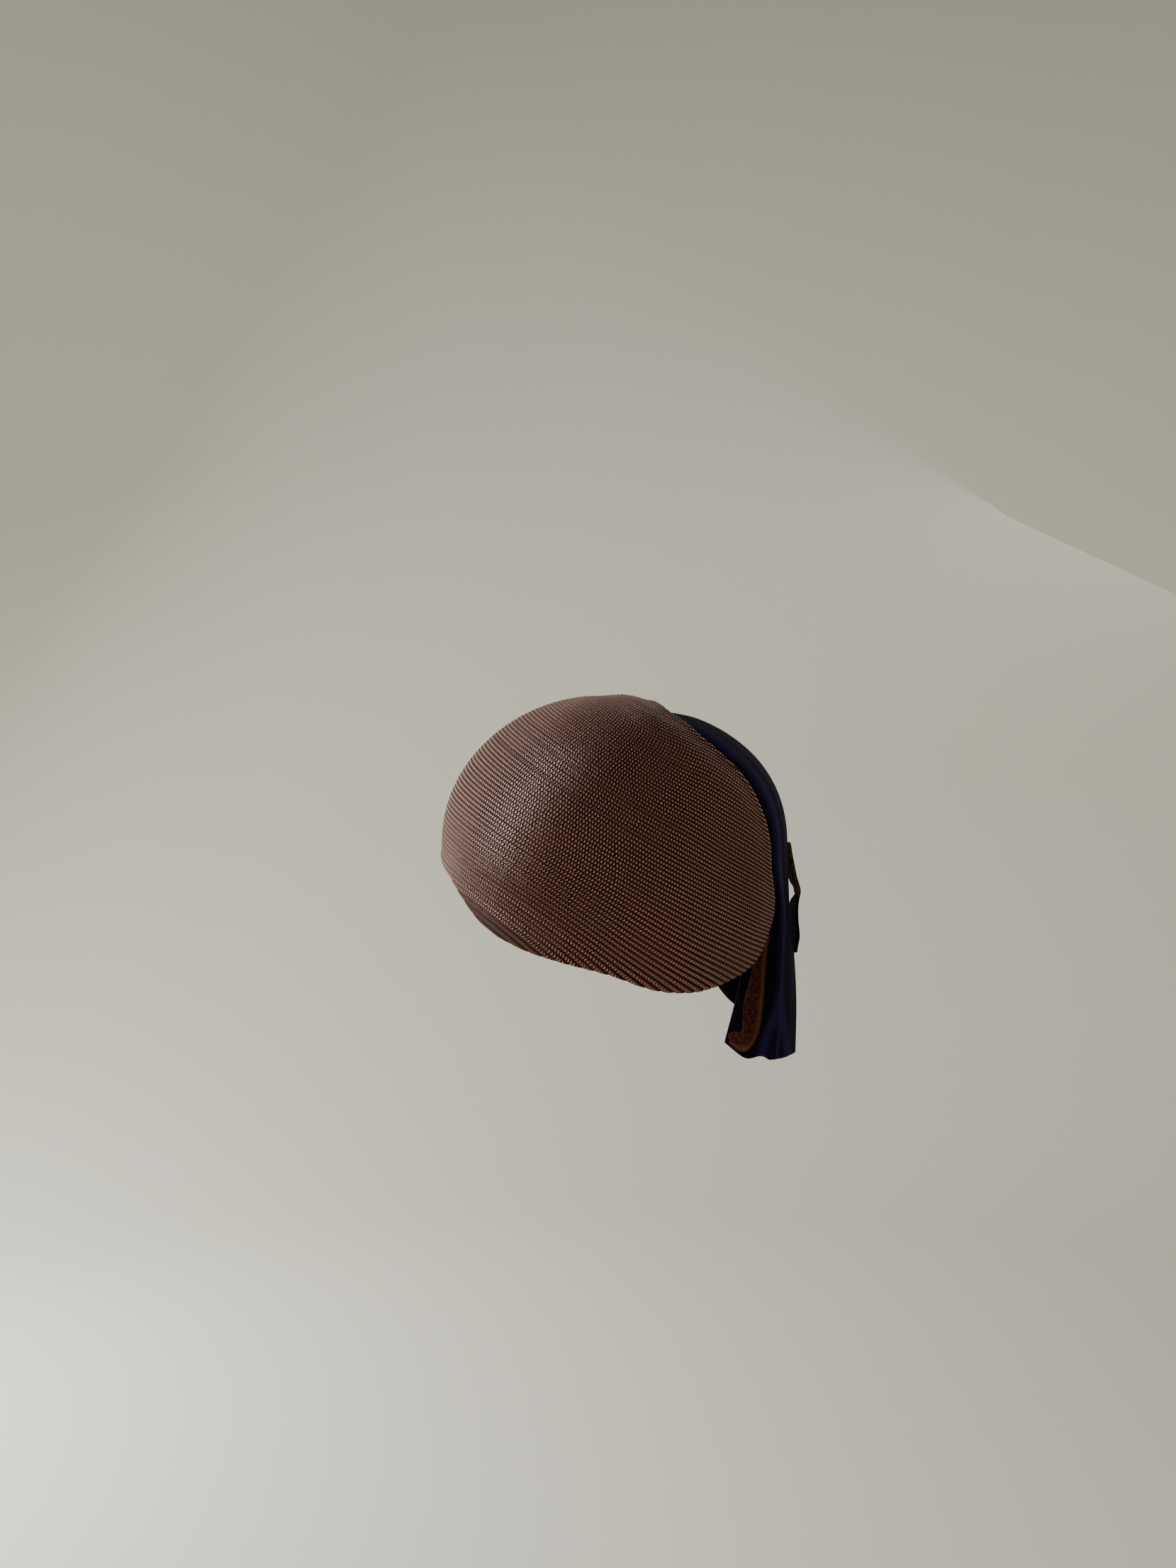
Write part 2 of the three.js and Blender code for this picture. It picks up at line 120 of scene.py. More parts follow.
# fold lines across the drape: place, hem, and how far each stands out at the levels
FOLDS = {
    "edge": (1.08, 0.907, (0, 0, 0, 0, 0, 0, -0.22, -0.95, -1.6, -2.4)),
    "bowl": (1.04, 0.966, (0, 0, 0, 0, 0, 0, -0.16, -0.66, -0.95, -1.3)),
    "lip": (0.98, 0.955, (0, 0, 0, 0, 0, 0, -0.12, -0.46, -0.5, -0.6)),
    "valley": (0.91, 0.975, (0, 0, 0.05, 0.06, 0.1, 0.03, 0, -0.14, -0.25, -0.2)),
    "ridge": (0.8, 0.985, (0, 0, 0.2, 0.24, 0.28, 0.22, 0.26, 0.3, 0.14, -0.04)),
    "split": (0.66, 0.995, (0, 0, 0.22, 0.26, 0.24, 0.18, 0.2, 0.26, 0.12, -0.02)),
    "branch": (0.48, 1, (0, 0, 0.28, 0.3, 0.34, 0.3, 0.38, 0.52, 0.5, 0.4)),
    "side": (0.22, 1, (0, 0, 0.3, 0.32, 0.36, 0.34, 0.46, 0.78, 0.96, 0.92)),
    "hollow": (0, 0.96, (0, 0, 0.15, 0.18, 0.14, 0.1, 0.16, 0.28, 0.3, 0.25)),
    "back_ridge": (-0.2, 0.98, (0, 0, 0.26, 0.34, 0.4, 0.4, 0.5, 0.7, 0.82, 0.85)),
    "back_hollow": (-0.42, 0.92, (0, 0, 0.08, 0.12, 0.1, 0.06, 0.1, 0.14, 0.14, 0.1)),
    "far_ridge": (-0.64, 0.91, (0, 0, 0.14, 0.36, 0.36, 0.36, 0.42, 0.5, 0.55, 0.55)),
    "far_hollow": (-0.84, 0.82, (0, 0, 0.04, 0.1, 0.06, 0.05, 0.02, -0.06, -0.14, -0.2)),
    "far_edge": (-1, 0.72, (0, 0, 0.02, 0.1, 0.08, 0.06, 0, -0.16, -0.32, -0.5)),
}

# the loop's two sides: share of the way down it, and how far each stands off the ridge
LOOP_ROWS = {
    "way": (0, 0.13, 0.3, 0.37, 0.43, 0.5, 0.57, 0.7, 0.84, 0.94, 1),
    "near": (0.7, 1.4, 3.3, 4.6, 5.3, 4.3, 3.3, 2.4, 2.1, 0.6, 0),
    "far": (0, 0.2, 0.9, 2, 4.2, 3.8, 1.4, 0.6, 0.4, 0.1, 0),
}

# the facing's two long sides: place from the drape's near edge to its lip, and depth
FACING_ROWS = {
    "way": (0, 0.25, 0.42, 0.58, 0.7, 0.8, 0.88, 0.95, 1),
    "inner": (0.5, 0.42, 0.3, 0.3, 0.36, 0.33, 0.26, 0.15, 0.05),
    "inner_depth": (63.3, 74, 86, 96, 104, 107.5, 108.5, 110.5, 113.5),
    "outer": (1.3, 1.14, 1.06, 0.99, 0.91, 0.76, 0.54, 0.3, 0.13),
    "outer_depth": (52, 71, 85, 97, 105, 111, 115.5, 117.5, 117.5),
}
print(len(RIM), "rim rows,", len(LEVELS), "levels,", len(FOLDS), "fold lines")

# %% [markdown]
# ## The hollow
#
# The hat is moulded over an egg-like form that is wider at the back, with slight flats.
# A sphere would be simpler, but the cap's outline would come out too round. So we
# stretch a sphere by a different size each way, press in the flats, and lay all the
# pieces on that surface.

# %% Curves through tables
def smooth(x):
    """Go softly from 0 to 1 while x does."""
    k = np.clip(x, 0, 1)
    return k * k * (3 - 2 * k)


def through(xs, ys, x):
    """Smooth curve through rows of a table. ys may have a column for each of many curves."""
    xs, ys, x = np.asarray(xs, float), np.asarray(ys, float), np.asarray(x, float)
    last = len(xs) - 1
    at = np.clip(x, xs[0], xs[-1])
    i = np.clip(np.searchsorted(xs, at, side="left") - 1, 0, last - 1)
    rows = np.arange(last + 1)
    low, high = np.maximum(rows - 1, 0), np.minimum(rows + 1, last)
    tall = (slice(None),) + (None,) * (ys.ndim - 1)
    slope = (ys[high] - ys[low]) / (xs[high] - xs[low])[tall]
    span = xs[i + 1] - xs[i]
    k = (at - xs[i]) / span
    wide = (...,) + (None,) * (ys.ndim - 1)
    k, span = k[wide], span[wide]
    rise = k * k * (3 - 2 * k)
    return (
        ys[i] * (1 - rise)
        + ys[i + 1] * rise
        + span * slope[i] * k * (1 - k) ** 2
        - span * slope[i + 1] * k * k * (1 - k)
    )


print("half way through a smooth step:", float(smooth(0.5)))


# %% Surface of the hollow
def unit(v):
    return v / np.linalg.norm(v, axis=-1, keepdims=True)


def aim(turn, rise):
    """Direction at a turn from the left towards the back, and a rise, in degrees."""
    t, r = np.radians(turn), np.radians(rise)
    return np.stack([np.cos(t) * np.cos(r), np.sin(t) * np.cos(r), np.sin(r)], -1)


def flat_depth(direction):
    """How far the flats press in the surface in a direction from its middle."""
    depth = 0
    for turn, rise, spread, share in FLATS:
        off = np.degrees(np.arccos(np.clip(direction @ aim(turn, rise), -1, 1))) / spread
        depth = depth + share * CROWN_HEIGHT * np.exp(-off * off)
    return depth


def hollow_surface(direction):
    """Point of the hollow in a direction from its middle."""
    back = np.where(direction[..., 1] < 0, HOLLOW_FRONT, HOLLOW_BACK)
    tall = np.where(direction[..., 2] > 0, CROWN_HEIGHT, HOLLOW_TAPER)
    axes = np.stack([np.full_like(back, HOLLOW_WIDTH / 2), back, tall], -1)
    size = np.linalg.norm(direction / axes, axis=-1)
    return direction * (1 / size - flat_depth(direction))[..., None]


print("hollow is", HOLLOW_WIDTH, "by", HOLLOW_FRONT + HOLLOW_BACK, "mm")

# %% [markdown]
# ## The cap's rim
#
# The cap's edge is one closed line that dips low on the left and runs up over the
# crown. Cutting a shell with a curved blade would be one way to make it. Here the rim
# is told from the cap's own middle, high on the left: at each turn, how far out the
# straw reaches. So every point knows how far it is from the edge, and the edge can be
# rolled. The back edge is lifted to let the drape in under it.

# %% Rim and back edge
CAP_DOWN = unit(np.array((0, 0, -1)) + CAP_AIM * CAP_AIM[2])
CAP_SIDE = np.cross(CAP_DOWN, CAP_AIM)
SEAM_LIFT = DRAPE_WALL + 3 * CLEARANCE
ring = np.concatenate([RIM[-2:] - (360, 0), RIM, RIM[:3] + (360, 0)])


def rim_reach(turn):
    return through(ring[:, 0], ring[:, 1], np.mod(turn, 360))


def cap_direction(turn, reach):
    """Direction at a turn round the cap's middle and a reach out from it, in degrees."""
    t, r = np.radians(turn)[..., None], np.radians(reach)[..., None]
    return CAP_AIM * np.cos(r) + (CAP_DOWN * np.cos(t) + CAP_SIDE * np.sin(t)) * np.sin(r)


def turn_and_reach(direction):
    turn = np.degrees(np.arctan2(direction @ CAP_SIDE, direction @ CAP_DOWN))
    return np.mod(turn, 360), np.degrees(np.arccos(np.clip(direction @ CAP_AIM, -1, 1)))


# the lifted back edge: turns where it begins and ends, and how soon the lift is full
LIFT_FROM, LIFT_TO, LIFT_STEP = 306, 158, 4
LIFT_IN, LIFT_OUT = 12, 16
station_turns = np.arange(LIFT_FROM, LIFT_TO - 1.0, -LIFT_STEP)
stations = hollow_surface(cap_direction(station_turns, rim_reach(station_turns)))
station_shares = smooth((station_turns - LIFT_TO) / LIFT_OUT)
station_shares *= smooth((LIFT_FROM - station_turns) / LIFT_IN)


def lift_at(points):
    """How far the cap is lifted at each point, by its distance from the back edge."""
    flat = points.reshape(-1, 3)
    highest = np.zeros(len(flat))
    for i in range(len(stations) - 1):
        along = stations[i + 1] - stations[i]
        k = np.clip((flat - stations[i]) @ along / (along @ along), 0, 1)
        away = np.linalg.norm(flat - stations[i] - k[:, None] * along, axis=1)
        full = station_shares[i] + (station_shares[i + 1] - station_shares[i]) * k
        highest = np.maximum(highest, full * (1 - smooth((away - SEAM_TUCK) / SEAM_FADE)))
    return (SEAM_LIFT * highest).reshape(points.shape[:-1])


def cap_surface(direction, height, rolled=True):
    """Point of the cap in a direction from the middle, over its inner face."""
    turn, reach = turn_and_reach(direction)
    rim = rim_reach(turn)
    to_rim = np.radians(np.maximum(rim - reach, 0)) * CROWN_HEIGHT
    roll = EDGE_ROLL * (1 - smooth(to_rim / EDGE_ROLL_WIDTH)) if rolled else 0
    form = hollow_surface(direction)
    return form + direction * (lift_at(form) + height + roll)[..., None]


print("rim lies from", RIM[:, 1].min(), "to", RIM[:, 1].max(), "degrees out")

# %% [markdown]
# ## Ribs of the straw
#
# The cap is sewn from one narrow braid, row beside row. A pattern of lines in the
# material would be quick, but its ribs would not show in the outline. So the ribs are
# real. They lie like lines of latitude about a pole, and draw together towards the back
# edge. A rib is told by its latitude, and a place on it by its longitude, both in
# degrees.

# %% Lines of the ribs
# middle of the rows: turn, rise, and how steeply they fall towards the front, in degrees
RIB_TURN, RIB_RISE, RIB_FALL = 6.0, -12.3, 28.0
# one row to the next: degrees of latitude, and millimetres as measured
RIB_PITCH, RIB_SPACE = 1.49, 2.1
# how the rows bow, and how far and how suddenly they draw together at each end
RIB_BOW = 2.0
PINCH_BACK, PINCH_BACK_BEND = 0.704, 1.67
PINCH_FRONT, PINCH_FRONT_BEND, PINCH_END = 0.048, 1.08, 1.3
PINCH_ABOVE, PINCH_BELOW = 10.5, 0.3
# first and last row tried, and where the lines lie in each: groove 0, crest 0.5
FIRST_ROW, LAST_ROW = -50, 60
PHASES = (0, 0.1, 0.28, 0.5, 0.72, 0.9)
# the search for a line's ends: first sweep, its steps, halvings, and degrees to keep it
SWEEP_FROM, SWEEP_TO, SWEEP_STEPS = -280, 80, 721
HALVINGS, SHORTEST = 16, 2

rib_middle = aim(RIB_TURN, RIB_RISE)
level_way = unit(np.cross((0, 0, 1), rib_middle))
fall = math.radians(RIB_FALL)
rib_run = level_way * math.cos(fall) - np.cross(rib_middle, level_way) * math.sin(fall)
rib_pole = np.cross(rib_middle, rib_run)


def rib_direction(latitude, longitude):
    """Direction of a place on a rib. The pinch draws the ribs together at both ends."""
    pole_share = np.abs(latitude / 90) ** np.where(latitude > 0, PINCH_ABOVE, PINCH_BELOW)
    back = PINCH_BACK * (np.clip(longitude, 0, None) / 90) ** PINCH_BACK_BEND
    ahead = np.clip(-longitude / 90, 0, PINCH_END)
    pinch = 1 - (1 - back) * (1 - PINCH_FRONT * ahead**PINCH_FRONT_BEND)
    bow = RIB_BOW * (longitude / 90) ** 2
    lat = np.radians(latitude * (1 - pinch * (1 - pole_share)) + bow)[..., None]
    lon = np.radians(longitude)[..., None]
    level = np.cos(lon) * rib_middle + np.sin(lon) * rib_run
    return np.cos(lat) * level + np.sin(lat) * rib_pole


def inside_rim(latitude, longitude):
    turn, reach = turn_and_reach(rib_direction(latitude, longitude))
    return reach < rim_reach(turn)


print("a row is", RIB_SPACE, "mm wide, or", RIB_PITCH, "degrees")


# %% Ends of the ribs
def rib_ends(latitudes):
    """Longitudes where each line enters and leaves the cap: its longest stretch inside."""
    sweep = np.linspace(SWEEP_FROM, SWEEP_TO, SWEEP_STEPS)
    inside = inside_rim(latitudes[:, None], np.tile(sweep, (len(latitudes), 1)))
    ends = np.full((len(latitudes), 2), np.nan)
    for row, flags in enumerate(inside):
        edges = np.flatnonzero(np.diff(np.concatenate([[0], flags, [0]])))
        starts, stops = edges[::2], edges[1::2]
        if len(starts):
            best = np.argmax(stops - starts)
            if starts[best] > 0 and stops[best] < SWEEP_STEPS:
                ends[row] = sweep[starts[best]], sweep[stops[best] - 1]
    step = sweep[1] - sweep[0]
    for side, way in ((0, -step), (1, step)):
        near, far = ends[:, side].copy(), ends[:, side] + way
        for _ in range(HALVINGS):
            middle = (near + far) / 2
            hit = inside_rim(latitudes, middle)
            near, far = np.where(hit, middle, near), np.where(hit, far, middle)
        ends[:, side] = near
    return ends


all_lines = np.concatenate([row + np.array(PHASES) for row in range(FIRST_ROW, LAST_ROW + 1)])
all_ends = rib_ends(all_lines * RIB_PITCH)
kept = np.isfinite(all_ends[:, 0]) & (all_ends[:, 1] - all_ends[:, 0] > SHORTEST)
lines, ends = all_lines[kept], all_ends[kept]
print(len(lines), "lines, in rows", int(lines[0] // 1), "to", int(lines[-1] // 1))

# %% [markdown]
# ## Making meshes
#
# Three makers do all the work. One turns a grid of points into faces. One closes two
# grids, the two faces of a cloth, with a rounded edge. Blender's Solidify could thicken
# a single face, but its cut edge would be square. The last runs a tube along a path,
# for plaits and threads.

# %% Mesh makers
def to_metres(points):
    """Millimetres about the hollow's middle to metres about the crown."""
    return (points.reshape(-1, 3) - (0, 0, CROWN_HEIGHT)) / 1000


def grid_faces(rows, columns, first=0, flip=False):
    """Faces of a grid whose points are counted row by row from first."""
    r, c = np.meshgrid(np.arange(rows - 1), np.arange(columns - 1), indexing="ij")
    a = first + r * columns + c
    quad = [a, a + 1, a + columns + 1, a + columns]
    return np.stack(quad[::-1] if flip else quad, -1).reshape(-1, 4)


def add_mesh(name, points, faces, uv=None, close=False):
    """Object from points and faces. uv says where each point lies on its piece."""
    mesh = bpy.data.meshes.new(name)
    mesh.from_pydata(points.tolist(), [], faces.tolist())
    if close:
        fixing = bmesh.new()
        fixing.from_mesh(mesh)
        bmesh.ops.recalc_face_normals(fixing, faces=fixing.faces)
        fixing.to_mesh(mesh)
        fixing.free()
    if uv is not None:
        corner = np.empty(len(mesh.loops), np.int32)
        mesh.loops.foreach_get("vertex_index", corner)
        layer = mesh.uv_layers.new(name="lay")
        layer.data.foreach_set("uv", uv.reshape(-1, 2)[corner].ravel())
    mesh.shade_smooth()
    piece = bpy.data.objects.new(name, mesh)
    bpy.context.scene.collection.objects.link(piece)
    return piece


print("a grid of 3 by 4 points has", len(grid_faces(3, 4)), "faces")


# %% Closed sheet
def add_sheet(name, outer, inner, bulge, uv=None):
    """Closed sheet between two grids of points, its edge rounded by a bulging mid line."""
    rows, columns = outer.shape[:2]
    top = [(0, c) for c in range(columns)]
    right = [(r, columns - 1) for r in range(1, rows)]
    bottom = [(rows - 1, c) for c in range(columns - 2, -1, -1)]
    left = [(r, 0) for r in range(rows - 2, 0, -1)]
    r, c = np.array(top + right + bottom + left).T
    near_r, near_c = np.clip(r, 1, rows - 2), np.clip(c, 1, columns - 2)
    out = unit(outer[r, c] - outer[near_r, near_c])
    mid = (outer[r, c] + inner[r, c]) / 2 + out * bulge
    count = rows * columns
    a, b = r * columns + c, np.roll(r * columns + c, -1)
    m = 2 * count + np.arange(len(r))
    n = np.roll(m, -1)
    faces = np.concatenate(
        [
            grid_faces(rows, columns, 0, flip=True),
            grid_faces(rows, columns, count),
            np.stack([a, b, n, m], -1),
            np.stack([m, n, count + b, count + a], -1),
        ]
    )
    points = to_metres(np.concatenate([outer.reshape(-1, 3), inner.reshape(-1, 3), mid]))
    if uv is not None:
        flat = uv.reshape(-1, 2)
        uv = np.concatenate([flat, flat, uv[r, c]])
    return add_mesh(name, points, faces, uv, close=True)


def grid_normals(points):
    """Outward direction at each point of a grid."""
    return unit(np.cross(np.gradient(points, axis=0), np.gradient(points, axis=1)))


print("a sheet's edge has one line of points more, between its two faces")

# %% Tube
# a direction that no path here follows
ASKEW = (0.31, 0.2, 0.93)


def tube(name, path, radii, sides=8):
    """Closed tube along a path of points, with a radius at each."""
    ways = unit(np.gradient(path, axis=0))
    first = unit(np.cross(ways, ASKEW))
    second = np.cross(ways, first)
    angles = np.linspace(0, 2 * np.pi, sides, endpoint=False)
    cos, sin = np.cos(angles)[:, None], np.sin(angles)[:, None]
    ring_points = first[:, None] * cos + second[:, None] * sin
    body = path[:, None] + ring_points * np.asarray(radii)[:, None, None]
    r, s = np.meshgrid(np.arange(len(path) - 1), np.arange(sides), indexing="ij")
    here, t = r * sides, (s + 1) % sides
    faces = np.stack([here + s, here + t, here + sides + t, here + sides + s], -1)
    piece = add_mesh(name, to_metres(body), faces.reshape(-1, 4))
    capped = bmesh.new()
    capped.from_mesh(piece.data)
    bmesh.ops.holes_fill(capped, edges=capped.edges, sides=sides)
    bmesh.ops.recalc_face_normals(capped, faces=capped.faces)
    capped.to_mesh(piece.data)
    capped.free()
    piece.data.shade_smooth()
    return piece


print("a tube is closed at both ends")

# %% [markdown]
# ## Material maths
#
# A material here is a small formula of where a point lies. Nodes could be added one by
# one, but a formula is easier to read. `Wire` lets us write it with plain `+`, `-`, `*`
# and `**`, and `node` adds any other shader node.

# %% Wires
# the colour sockets of the Mix node, which has more than one set with the same names
COLOUR_A, COLOUR_B, COLOUR_OUT = 6, 7, 2


class Wire:
    """A value in a material's node tree."""

    def __init__(self, tree, output=None):
        self.tree, self.output = tree, output

    def node(self, kind, inputs=None, out=0, **settings):
        """Add a node: first its settings, then the values or wires of its sockets."""
        made = self.tree.nodes.new(kind)
        for key, value in settings.items():
            setattr(made, key, value)
        for key, value in (inputs or {}).items():
            if isinstance(value, Wire):
                self.tree.links.new(value.output, made.inputs[key])
            else:
                made.inputs[key].default_value = value
        return Wire(self.tree, made.outputs[out])

    def math(self, operation, *others, swap=False):
        """Add a Math node for this value and others. swap puts this value last."""
        values = (*others, self) if swap else (self, *others)
        return self.node("ShaderNodeMath", dict(enumerate(values)), operation=operation)

    def __add__(self, other):
        return self.math("ADD", other)

    def __sub__(self, other):
        return self.math("SUBTRACT", other)

    def __rsub__(self, other):
        return self.math("SUBTRACT", other, swap=True)

    def __mul__(self, other):
        return self.math("MULTIPLY", other)

    def __pow__(self, other):
        return self.math("POWER", other)

    def __rpow__(self, other):
        return self.math("POWER", other, swap=True)

    __radd__, __rmul__ = __add__, __mul__

    def between(self, low, high, start=0.0, end=1.0):
        """Go smoothly from start to end while the value goes from low to high."""
        inputs = {"Value": self, "From Min": low, "From Max": high}
        inputs |= {"To Min": start, "To Max": end}
        return self.node("ShaderNodeMapRange", inputs, interpolation_type="SMOOTHSTEP")

    def blend(self, dark, light):
        """Colour from dark, at 0, to light, at 1."""
        inputs = {"Factor": self, COLOUR_A: dark, COLOUR_B: light}
        return self.node("ShaderNodeMix", inputs, out=COLOUR_OUT, data_type="RGBA")

    def lay(self):
        """The two values that the mesh carries for where a point lies on its piece."""
        place = self.node("ShaderNodeUVMap", uv_map="lay")
        return [self.node("ShaderNodeSeparateXYZ", {"Vector": place}, out=i) for i in (0, 1)]

    def noise(self, scale, detail, stretch=(1, 1, 1)):
        """Noise over the object's own space: scale is lumps for each mm."""
        place = self.node("ShaderNodeTexCoord", out="Object")
        sized = self.node("ShaderNodeMapping", {"Vector": place, "Scale": stretch})
        inputs = {"Vector": sized, "Scale": scale * 1000, "Detail": detail}
        return self.node("ShaderNodeTexNoise", inputs)


print("wires take + - * and **, from either side")


# %% Colours and shaders
def colour(red, green, blue):
    """Screen colour, 0 to 255, as the linear colour that a shader takes."""
    linear = (
        ((c / 255 + 0.055) / 1.055) ** 2.4 if c > 10 else c / 255 / 12.92
        for c in (red, green, blue)
    )
    return (*linear, 1.0)


def new_material(name, **fixed):
    """A material, its shader, and a first wire to call node from."""
    made = bpy.data.materials.new(name)
    made.use_nodes = True
    shader = made.node_tree.nodes["Principled BSDF"]
    for key, value in fixed.items():
        shader.inputs[key.replace("_", " ")].default_value = value
    return made, shader, Wire(made.node_tree)


def connect(shader, **wires):
    """Lead each wire to the shader's socket of that name."""
    for key, wire in wires.items():
        wire.tree.links.new(wire.output, shader.inputs[key.replace("_", " ")])


def bump(wire, height, distance):
    """Bend the light as if the surface stood out by the height, distance in millimetres."""
    inputs = {"Height": height, "Distance": distance / 1000, "Strength": 1.0}
    return wire.node("ShaderNodeBump", inputs)


print("mid grey is", round(colour(128, 128, 128)[0], 3), "in linear light")

# %% [markdown]
# ## Straw
#
# Each rib is a plaited cord: a chain of small oval beads, shifted by half a bead from
# row to row. The grooves between ribs and the pits between beads are darkened with
# painted shade, and each bead's tip is lightened with a painted highlight. Modelling each
# bead would take millions of faces, so the beads are a formula. The mesh carries how many
# beads along and how many ribs up each point lies, and the beads follow the ribs. Towards
# the back and at the far front the beads melt into plain cords with a line of thread
# along them.

# %% Straw materials
# how far beads stray along a row, and how far they arch from edge to edge, in beads
BEAD_WANDER, BEAD_BOW = 0.9, 1.6
# the thread: where it runs across a row, and half its width, as shares of the row
THREAD_SIDE, THREAD_HALF_WIDTH = 0.8, 1 / 9
# where beads melt into cords: beads along the row, from none to all, or to a share
CORDED_BACK, CORDED_FRONT = (-20, 30), (-28, -46, 0, 0.6)
# lumps of noise for each millimetre, and how dark aged patches are
STRAY, FIBRE, PATCH, AGED = 0.25, 3.2, 0.045, 0.7


def straw_material(name, dark, mid, light, rough=0.32, depth=0.4, shine=0.24):
    """Beaded straw: painted shade in the grooves, mid on the body, a painted highlight on each
    tip.
    """
    made, shader, wire = new_material(
        name, Specular_IOR_Level=shine, Specular_Tint=colour(236, 172, 148)
    )
    # beads along and rows up; side is how far across its own row a point lies
    along, across = wire.lay()
    row = across.math("FLOOR")
    side = across - row
    wander = wire.noise(STRAY, 2) * BEAD_WANDER
    bow = (side - 0.5) ** 2 * BEAD_BOW
    turns = along + row * 0.5 + wander + bow
    # how high the straw stands: the highest of a bead or cord and the thread
    wave = (turns * (2 * math.pi)).math("COSINE") * 0.5 + 0.5
    off_thread = (side - THREAD_SIDE).math("ABSOLUTE") * (1 / THREAD_HALF_WIDTH)
    thread = 1 - off_thread.math("MINIMUM", 1)
    corded = along.between(*CORDED_BACK).math("MAXIMUM", along.between(*CORDED_FRONT))
    cord = (side * math.pi).math("SINE") ** (0.45 + corded * 0.45)
    bead = cord * (wave * (1 - corded * 0.45) + corded * 0.45)
    high = bead.math("MAXIMUM", thread * (0.1 + corded * 0.5))
    # from painted shade in the groove to the body to a painted highlight on the tip, each tip as
    # bright as its fibres, and aged in patches
    fibre, patch = wire.noise(FIBRE, 3), wire.noise(PATCH, 3)
    # painted shade: the dark colour where the straw stands low, in the grooves and between beads
    body = high.between(0.2, 0.8).blend(colour(*dark), colour(*mid))
    # painted highlight: the light colour on each bead's tip
    tip_highlight = (high * (0.6 + fibre * 0.8)).between(0.6, 1.1).blend(body, colour(*light))
    aged = colour(*(AGED * np.array(mid)))
    connect(
        shader,
        Base_Color=patch.between(0.4, 0.7, 0, 0.25).blend(tip_highlight, aged),
        Roughness=rough + fibre * 0.2,
        Normal=bump(wire, high * (1.5 - corded * 0.5) + fibre * 0.15, depth),
    )
    return made


# colours: painted shade in the grooves, the straw's own body, painted highlight on each bead tip
straw = straw_material("straw", (15, 3, 4), (117, 78, 66), (200, 147, 129))
straw_inside = straw_material(
    "straw_inside", (18, 7, 4), (74, 44, 33), (118, 80, 60), rough=0.6, depth=0.25, shine=0.2
)
straw_edge = straw_material(
    "straw_edge", (44, 22, 16), (96, 60, 46), (138, 100, 80), rough=0.7, depth=0.2, shine=0.1
)
print("beaded straw:", straw.name, straw_inside.name, straw_edge.name)

# %% [markdown]
# ## The straw's reverse
#
# The back of the same straw shows on the loop and along the drape. It has no gloss and
# no beads, only mottled fibres. Towards its outer side it is painted paler, as painted
# light where light falls on it. An even colour would look like card, so two noises break
# it up.

# %% Reverse materials
# rows across where the painted light on the outer side begins and is full, and how full that is
PAINTED_LIGHT_ROWS = (2.4, 4.2, 0, 0.75)
MOTTLE, REVERSE_FIBRE = 0.55, 2.6


def reverse_material(name, dark, mid, lit_colour):
    """The straw's matt reverse: mottled, and painted paler towards its outer side, as painted
    light.
    """
    made, shader, wire = new_material(name, Specular_IOR_Level=0.06)
    outer = wire.lay()[1].between(*PAINTED_LIGHT_ROWS)
    mottle, fibre = wire.noise(MOTTLE, 4), wire.noise(REVERSE_FIBRE, 3)
    body = (mottle * 0.7 + fibre * 0.4).between(0.42, 0.72).blend(colour(*dark), colour(*mid))
    connect(
        shader,
        # painted light: paler colour towards the outer side, where light falls
        Base_Color=(outer * (fibre * 0.9 + 0.4)).blend(body, colour(*lit_colour)),
        Roughness=0.8 + fibre * 0.15,
        Normal=bump(wire, fibre + mottle * 0.8, 0.35),
    )
    return made


straw_reverse = reverse_material("straw_reverse", (30, 9, 6), (72, 36, 25), (98, 64, 48))
# the loop's copy is lighter: painted light, coloured as if the loop were lit
loop_straw_lit = reverse_material("loop_straw_lit", (50, 26, 16), (112, 76, 50), (130, 96, 66))
print("reverse:", straw_reverse.name, "and", loop_straw_lit.name)

# %% [markdown]
# ## Velvet
#
# Velvet is nearly black where we look into the pile, and shows a pale blue-violet
# bloom where the pile is seen from its side. Hairs would show that, but hundreds of
# thousands of them would be needed, so the bloom is the shader's sheen. Soft
# patches where the pile lies a little differently break the evenness. The drape's long
# ridge, which parts in two above the hem, has a painted highlight: its colour is made
# lighter than the hollows.

# %% Velvet materials
# painted highlight lines along the drape's ridges: down from and to, across from and to,
# half width. All are shares of the cloth, and a line fades in round its start
RIDGES = (
    (0, 0.89, 0.29, 0.33, 0.075),
    (0.86, 1, 0.33, 0.17, 0.07),
    (0.86, 1, 0.35, 0.44, 0.06),
)
RIDGE_FADE = 0.03
# lumps of noise for each millimetre: where the pile leans, and its hairs
LEAN, LEAN_STRETCH, PILE = 0.06, (1, 1, 0.35), 4.5
PILE_SHADOW = (4, 3, 8)


